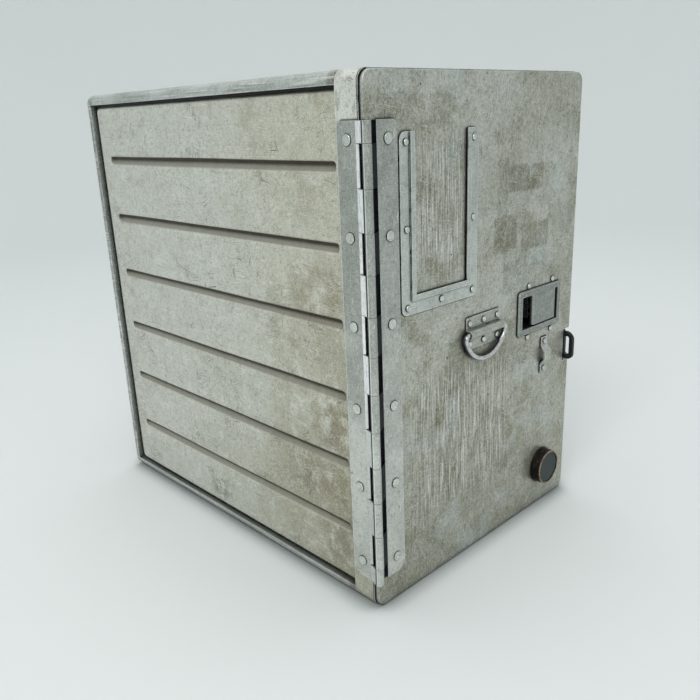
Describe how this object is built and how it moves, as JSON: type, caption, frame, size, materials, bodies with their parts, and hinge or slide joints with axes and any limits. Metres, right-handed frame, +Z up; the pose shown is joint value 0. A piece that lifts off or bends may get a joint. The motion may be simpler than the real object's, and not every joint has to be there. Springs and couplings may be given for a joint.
{
  "type": "galley container",
  "caption": "Upright riveted aluminium catering container with beaded sides, a full-size hinged front door, recessed paddle latch, bail ring, card holder, seal bridge and round buffer.",
  "frame": {"origin": "centre of the flat base, on the surface the container stands on", "axes": "+Z up, door facing -Y, hinge on the -X side"},
  "size_m": [0.2894, 0.412, 0.42],
  "materials": {
    "side_sheet": "satin, stained",
    "shell_sheet": "satin, worn",
    "frame_extrusion": "satin",
    "door_sheet": "satin, stained",
    "pan_sheet": "satin",
    "hinge_metal": "smooth satin",
    "pin_steel": "drawn",
    "rivet_metal": "bright",
    "holder_sheet": "satin",
    "plate_sheet": "satin",
    "latch_cast": "satin cast",
    "latch_steel": "zinc plated",
    "ring_chrome": "polished, worn",
    "eye_steel": "black oxide",
    "seal_rubber": "matt",
    "buffer_metal": "dark, worn at the rim",
    "buffer_rubber": "smooth, dark"
  },
  "bodies": {
    "container": {"left_side_panel": "side_sheet", "right_side_panel": "side_sheet", "top_panel": "shell_sheet", "bottom_panel": "shell_sheet", "rear_panel": "shell_sheet", "front_post_left": "frame_extrusion", "front_post_right": "frame_extrusion", "front_header": "frame_extrusion", "front_sill": "frame_extrusion", "hinge_body_leaf": "hinge_metal", "hinge_pin": "pin_steel", "hinge_body_rivets": "rivet_metal", "strike_plate": "latch_steel", "strike_rivets": "rivet_metal", "seal_eye": "eye_steel", "seal_eye_rivets": "eye_steel"},
    "door": {"door_skin": "door_sheet", "door_inner_pan": "pan_sheet", "door_gasket": "seal_rubber", "hinge_door_leaf": "hinge_metal", "hinge_door_rivets": "rivet_metal", "card_holder": "holder_sheet", "card_holder_rivets": "rivet_metal", "ring_plate": "plate_sheet", "ring_plate_rivets": "rivet_metal", "latch_cup": "latch_cast", "latch_backing_frame": "latch_steel", "latch_rivets": "rivet_metal", "latch_pivot_pin": "pin_steel", "latch_bolt_guide": "latch_steel", "latch_spring": "latch_steel", "seal_bridge": "plate_sheet", "seal_bridge_rivets": "rivet_metal", "buffer_cup": "buffer_metal", "buffer_pad": "buffer_rubber", "buffer_rivet": "rivet_metal"},
    "ring": {"pull_ring": "ring_chrome"},
    "paddle": {"latch_paddle": "latch_cast"},
    "bolt": {"latch_bolt": "latch_steel"}
  },
  "joints": [
    {"name": "door_swing", "type": "hinge", "parent": "container", "child": "door", "pos_m": [-0.1435, -0.2045, 0.2065], "axis": [0, 0, -1], "range_deg": [0, 255]},
    {"name": "ring_swing", "type": "hinge", "parent": "door", "child": "ring", "pos_m": [-0.00535, -0.2049, 0.2105], "axis": [-1, 0, 0], "range_deg": [0, 165]},
    {"name": "paddle_pull", "type": "hinge", "parent": "door", "child": "paddle", "pos_m": [0.1099, -0.1988, 0.2105], "axis": [0, 0, 1], "range_deg": [0, 40], "stiffness_Nm_per_rad": 0.1, "springref_deg": -11.46},
    {"name": "bolt_slide", "type": "slide", "parent": "door", "child": "bolt", "axis": [-1, 0, 0], "range_m": [0, 0.0052], "deforming": ["latch_spring"]}
  ],
  "couplings": [
    {"joint": "bolt_slide", "follows": "paddle_pull", "m_per_rad": 0.007448}
  ]
}
